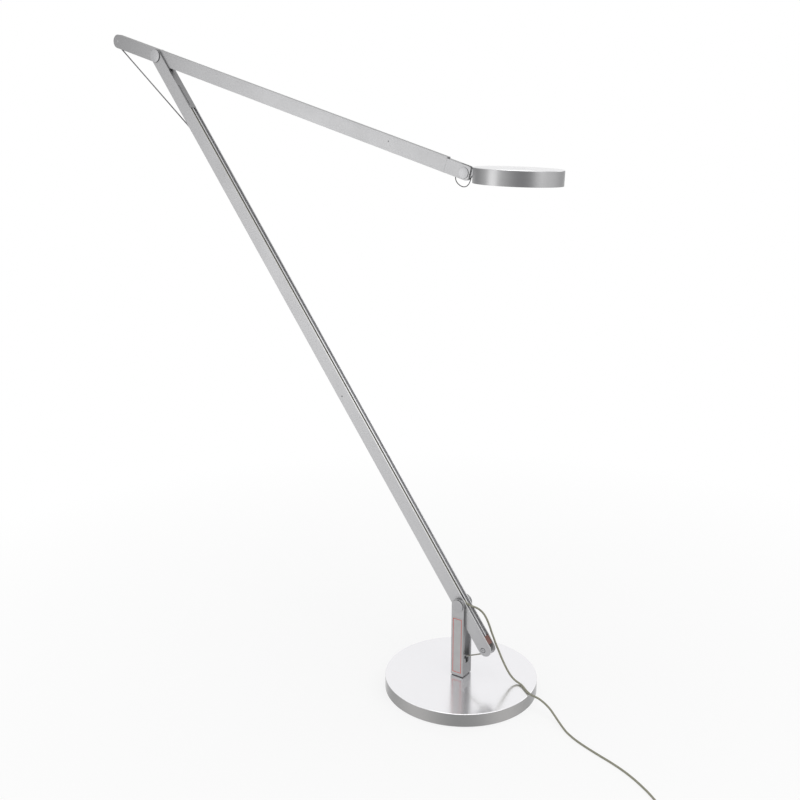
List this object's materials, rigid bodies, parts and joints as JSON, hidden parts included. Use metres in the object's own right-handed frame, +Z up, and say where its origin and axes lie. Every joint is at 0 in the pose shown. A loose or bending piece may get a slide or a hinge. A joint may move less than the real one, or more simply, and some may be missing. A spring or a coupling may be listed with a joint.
{
  "type": "office floor lamp",
  "caption": "Balanced-arm floor lamp: heavy round base, turning fork post, sprung lower and upper arms with exposed cords, and a flat round tilting head.",
  "frame": {"origin": "centre of the base's underside, on the floor", "axes": "+Z up, +X from the post towards the side the head hangs on, the arms move in the XZ plane at rest"},
  "size_m": [1.4048, 0.343, 1.1473],
  "materials": {
    "base_metal": "fine satin brushed, clear coated",
    "arm_aluminium": "satin anodised extrusion, brushed along its length",
    "cap_aluminium": "satin anodised",
    "head_metal": "satin brushed, turned",
    "plated_steel": "zinc plated",
    "bronze": "sintered, oiled",
    "black_rubber": "matte",
    "black_plastic": "fine grained",
    "pale_plastic": "moulded, smooth",
    "brown_plastic": "moulded, matte",
    "cord_sheath": "smooth olive-grey sheath",
    "string_olive": "braided polymer cord",
    "string_grey": "braided polymer cord",
    "label_film": "blank pale film",
    "opal_sheet": "opal acrylic, satin",
    "white_board": "white lacquered board",
    "led_yellow": "resin"
  },
  "bodies": {
    "base": {"base_disc": "base_metal", "base_pad": "black_rubber", "swivel_bush": "bronze", "thrust_disc": "black_plastic", "cord_floor": "cord_sheath", "cord_coil": "cord_sheath", "cord_tail": "cord_sheath", "adapter_relief": "black_plastic", "adapter_body": "black_plastic", "adapter_pins": "plated_steel"},
    "post": {"swivel_bolt": "plated_steel", "swivel_washer": "plated_steel", "post_fork": "arm_aluminium", "shoulder_axle": "plated_steel", "shoulder_caps": "cap_aluminium", "anchor_pin": "plated_steel", "rating_label": "label_film", "lower_string": "string_olive", "cord_drop": "cord_sheath"},
    "lower_arm": {"lower_profile": "arm_aluminium", "shoulder_bushes": "pale_plastic", "lower_roller_pin": "plated_steel", "channel_stop": "brown_plastic", "lower_spring": "plated_steel", "lower_spring_pin": "plated_steel", "lower_inner_string": "string_olive", "lower_cable": "cord_sheath", "cord_grommet": "black_plastic", "elbow_fork": "arm_aluminium", "elbow_axle": "plated_steel", "elbow_caps": "cap_aluminium", "string_eye": "plated_steel", "upper_string": "string_grey", "elbow_lead": "black_plastic", "cord_lead": "cord_sheath"},
    "lower_roller": {"lower_roller": "pale_plastic"},
    "lower_slider": {"lower_slider": "plated_steel"},
    "upper_arm": {"upper_profile": "arm_aluminium", "elbow_bushes": "pale_plastic", "upper_roller_pin": "plated_steel", "upper_spring": "plated_steel", "upper_spring_pin": "plated_steel", "upper_inner_string": "string_grey", "upper_cable": "black_plastic", "head_fitting": "arm_aluminium", "hinge_axle": "plated_steel", "hinge_caps": "cap_aluminium", "head_wire": "black_plastic"},
    "upper_roller": {"upper_roller": "pale_plastic"},
    "upper_slider": {"upper_slider": "plated_steel"},
    "head": {"head_knuckle": "arm_aluminium", "knuckle_screws": "plated_steel", "head_shell": "head_metal", "heat_spreader": "cap_aluminium", "led_board": "white_board", "led_chips": "led_yellow", "diffuser": "opal_sheet", "retaining_ring": "head_metal", "dimmer_switch": "black_plastic"},
    "dimmer_button": {"dimmer_button": "cap_aluminium"}
  },
  "joints": [
    {"name": "post_swivel", "type": "hinge", "parent": "base", "child": "post", "pos_m": [0, 0, 0.0265], "axis": [0, 0, 1], "range_deg": [-170, 170]},
    {"name": "shoulder_tilt", "type": "hinge", "parent": "post", "child": "lower_arm", "pos_m": [0, 0, 0.161], "axis": [0, 1, 0], "range_deg": [-23.6, 31.4], "deforming": ["lower_string", "lower_inner_string", "cord_lead", "lower_spring"]},
    {"name": "elbow_tilt", "type": "hinge", "parent": "lower_arm", "child": "upper_arm", "pos_m": [-0.6943, 0, 1.10273], "axis": [0, -1, 0], "range_deg": [-2, 110], "deforming": ["upper_string", "upper_inner_string", "elbow_lead", "upper_spring"]},
    {"name": "head_tilt", "type": "hinge", "parent": "upper_arm", "child": "head", "pos_m": [-0.00739, 0, 0.89717], "axis": [0, 1, 0], "range_deg": [-75, 75], "deforming": ["head_wire"]},
    {"name": "lower_roller_spin", "type": "hinge", "parent": "lower_arm", "child": "lower_roller", "pos_m": [0.04924, 0, 0.08797], "axis": [0, 1, 0], "range_deg": [-360, 360]},
    {"name": "lower_slide", "type": "slide", "parent": "lower_arm", "child": "lower_slider", "axis": [-0.5934, 0, 0.8049], "range_m": [-0.039, 0.052]},
    {"name": "upper_roller_spin", "type": "hinge", "parent": "upper_arm", "child": "upper_roller", "pos_m": [-0.80265, 0, 1.13482], "axis": [0, 1, 0], "range_deg": [-40, 1330]},
    {"name": "upper_slide", "type": "slide", "parent": "upper_arm", "child": "upper_slider", "axis": [0.9588, 0, -0.284], "range_m": [-0.005, 0.19]},
    {"name": "dimmer_press", "type": "slide", "parent": "head", "child": "dimmer_button", "axis": [-0.0384, 0, -0.9993], "range_m": [0, 0.0008], "stiffness_N_per_m": 1500, "springref_m": -0.0005}
  ],
  "couplings": [
    {"joint": "lower_roller_spin", "follows": "shoulder_tilt", "ratio": -11.28},
    {"joint": "lower_slide", "follows": "shoulder_tilt", "m_per_rad": 0.0925},
    {"joint": "upper_roller_spin", "follows": "elbow_tilt", "ratio": 11.95},
    {"joint": "upper_slide", "follows": "elbow_tilt", "m_per_rad": 0.098}
  ]
}
